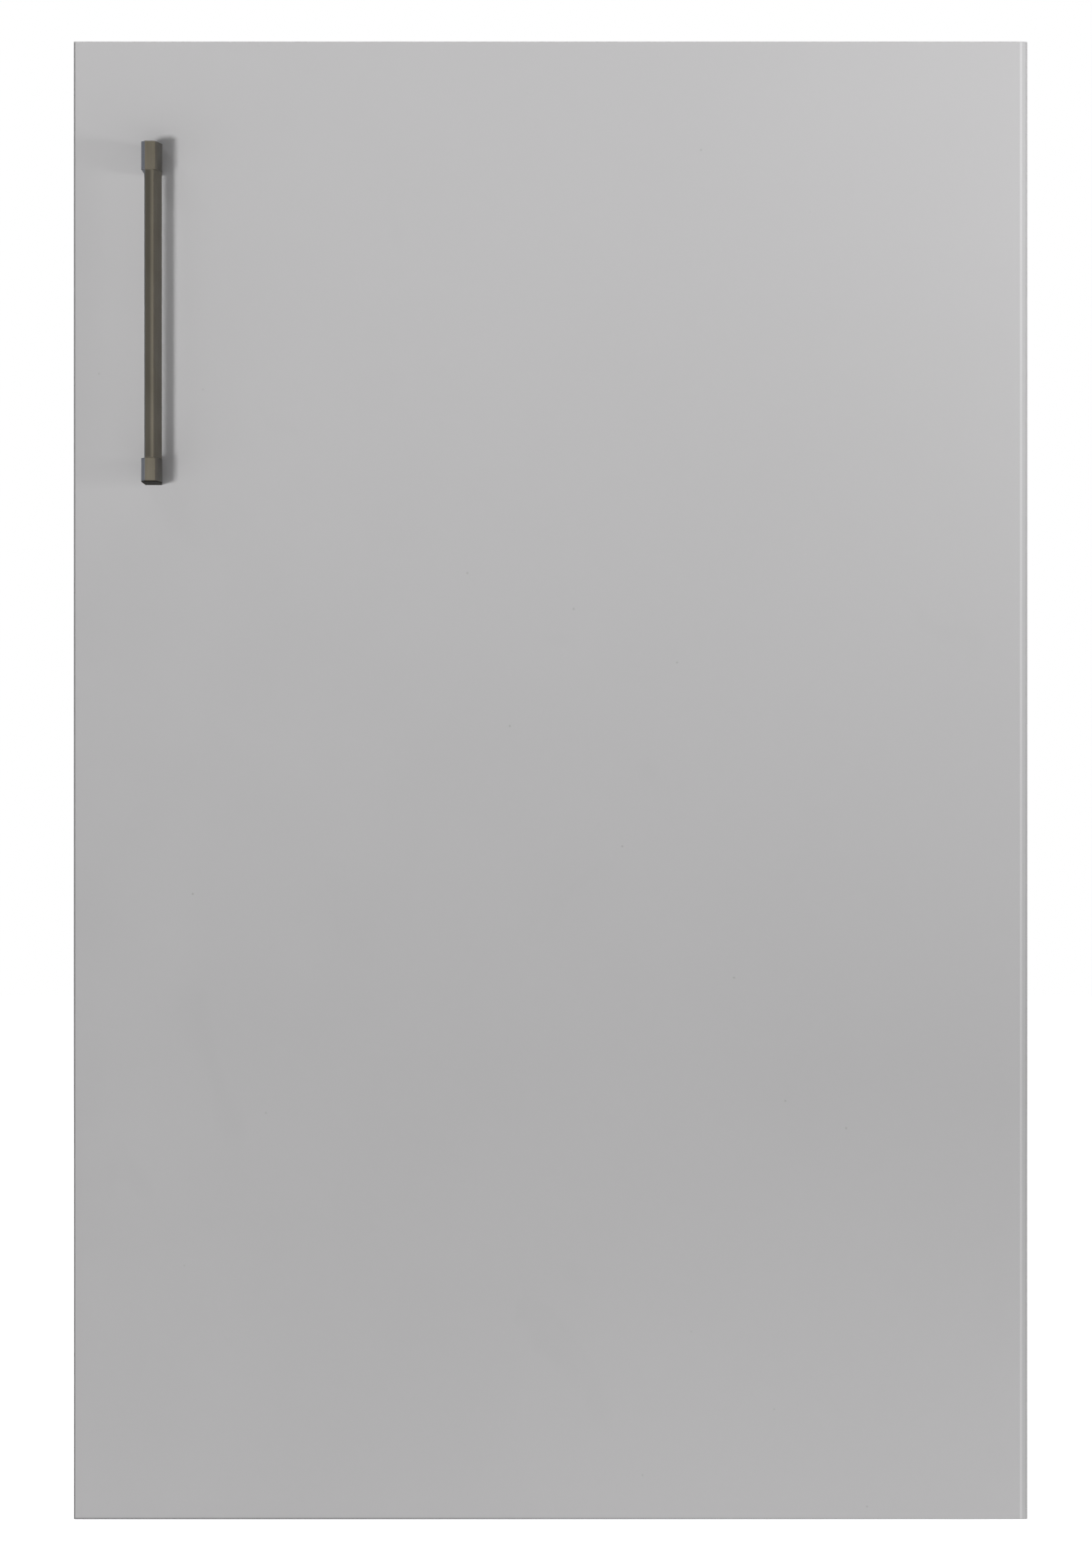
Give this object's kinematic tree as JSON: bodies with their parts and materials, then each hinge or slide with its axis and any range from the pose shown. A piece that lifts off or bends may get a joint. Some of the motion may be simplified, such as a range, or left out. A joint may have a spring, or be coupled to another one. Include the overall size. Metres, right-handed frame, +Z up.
{
  "type": "undercounter refrigerator",
  "caption": "Compact undercounter refrigerator: flat grey steel door with a slim bar handle, hinged on the right, glass shelves, crisper, door racks and rear condenser.",
  "frame": {"origin": "on the floor, under the middle of the box that holds the whole object", "axes": "+Z up; the door faces -Y; +X is to the right of someone who faces the door, on the hinge side"},
  "size_m": [0.5, 0.59, 0.78],
  "materials": {
    "cabinet_sheet": "satin",
    "galvanised_steel": "spangled, dull",
    "liner_plastic": "semi-gloss",
    "foam": "matt",
    "evaporator_aluminium": "satin",
    "dark_plastic": "matt",
    "black_steel": "satin",
    "mount_rubber": "matt",
    "copper": "bright, slightly oxidised",
    "zinc_plate": "zinc plated",
    "white_plastic": "semi-gloss",
    "lens": "frosted",
    "lamp_glass": "opal",
    "shelf_glass": "clear, polished edges",
    "clear_plastic": "clear",
    "door_steel": "satin",
    "handle_metal": "dark satin",
    "gasket_rubber": "matt",
    "cap_plastic": "matt",
    "bush_plastic": "matt"
  },
  "bodies": {
    "cabinet": {"side_panel_left": "cabinet_sheet", "side_panel_right": "cabinet_sheet", "top_panel": "cabinet_sheet", "back_panel": "galvanised_steel", "base_plate": "galvanised_steel", "front_rail": "cabinet_sheet", "cabinet_liner": "liner_plastic", "cabinet_foam": "foam", "evaporator_plate": "evaporator_aluminium", "drain_tube": "dark_plastic", "compressor_tray": "galvanised_steel", "compressor": "black_steel", "compressor_grommet_1": "mount_rubber", "compressor_grommet_2": "mount_rubber", "compressor_grommet_3": "mount_rubber", "compressor_grommet_4": "mount_rubber", "relay_cover": "dark_plastic", "condenser_tube": "black_steel", "condenser_wires": "black_steel", "condenser_strip_left": "black_steel", "condenser_strip_right": "black_steel", "filter_drier": "copper", "discharge_line": "copper", "suction_line": "copper", "evaporation_tray": "dark_plastic", "cord_gland": "dark_plastic", "hinge_bracket_top": "zinc_plate", "hinge_bracket_bottom": "zinc_plate", "hinge_pin_top": "zinc_plate", "hinge_pin_bottom": "zinc_plate", "control_housing": "white_plastic", "lamp_lens": "lens", "lamp": "lamp_glass", "rear_foot_left": "dark_plastic", "rear_foot_right": "dark_plastic"},
    "door": {"door_skin": "door_steel", "door_foam": "foam", "door_liner": "liner_plastic", "door_gasket": "gasket_rubber", "door_cap_top": "cap_plastic", "door_cap_bottom": "cap_plastic", "hinge_bush_top": "bush_plastic", "hinge_bush_bottom": "bush_plastic", "door_handle": "handle_metal", "handle_screw_upper": "zinc_plate", "handle_screw_lower": "zinc_plate"},
    "rack_upper": {"door_rack_upper": "clear_plastic"},
    "rack_middle": {"door_rack_middle": "clear_plastic"},
    "rack_lower": {"door_rack_lower": "clear_plastic"},
    "shelf_upper": {"shelf_glass_upper": "shelf_glass", "shelf_trim_upper": "white_plastic"},
    "shelf_lower": {"shelf_glass_lower": "shelf_glass", "shelf_trim_lower": "white_plastic"},
    "crisper_cover": {"crisper_cover_glass": "shelf_glass", "crisper_cover_trim": "white_plastic"},
    "crisper": {"crisper_drawer": "clear_plastic"},
    "thermostat": {"thermostat_knob": "white_plastic"},
    "light_switch_plunger": {"light_switch": "white_plastic"},
    "foot_left": {"front_foot_left": "dark_plastic"},
    "foot_right": {"front_foot_right": "dark_plastic"}
  },
  "joints": [
    {"name": "door_swing", "type": "hinge", "parent": "cabinet", "child": "door", "pos_m": [0.236, -0.24, 0], "axis": [0, 0, 1], "range_deg": [0, 110]},
    {"name": "light_switch_travel", "type": "slide", "parent": "cabinet", "child": "light_switch_plunger", "axis": [0, -1, 0], "range_m": [0, 0.005]},
    {"name": "thermostat_turn", "type": "hinge", "parent": "cabinet", "child": "thermostat", "pos_m": [-0.045, -0.172, 0.702], "axis": [0, 1, 0], "range_deg": [0, 280]},
    {"name": "rack_upper_lift", "type": "slide", "parent": "door", "child": "rack_upper", "axis": [0, 0, 1], "range_m": [0, 0.015]},
    {"name": "rack_middle_lift", "type": "slide", "parent": "door", "child": "rack_middle", "axis": [0, 0, 1], "range_m": [0, 0.015]},
    {"name": "rack_lower_lift", "type": "slide", "parent": "door", "child": "rack_lower", "axis": [0, 0, 1], "range_m": [0, 0.015]},
    {"name": "shelf_upper_slide", "type": "slide", "parent": "cabinet", "child": "shelf_upper", "axis": [0, -1, 0], "range_m": [0, 0.025]},
    {"name": "shelf_lower_slide", "type": "slide", "parent": "cabinet", "child": "shelf_lower", "axis": [0, -1, 0], "range_m": [0, 0.025]},
    {"name": "crisper_cover_slide", "type": "slide", "parent": "cabinet", "child": "crisper_cover", "axis": [0, -1, 0], "range_m": [0, 0.025]},
    {"name": "crisper_slide", "type": "slide", "parent": "cabinet", "child": "crisper", "axis": [0, -1, 0], "range_m": [0, 0.025]},
    {"name": "front_foot_left_turn", "type": "hinge", "parent": "cabinet", "child": "foot_left", "pos_m": [-0.215, -0.165, 0], "axis": [0, 0, 1], "range_deg": [0, 720]},
    {"name": "front_foot_right_turn", "type": "hinge", "parent": "cabinet", "child": "foot_right", "pos_m": [0.215, -0.165, 0], "axis": [0, 0, 1], "range_deg": [0, 720]}
  ],
  "couplings": [
    {"joint": "light_switch_travel", "follows": "door_swing", "m_per_rad": 0.0026}
  ]
}
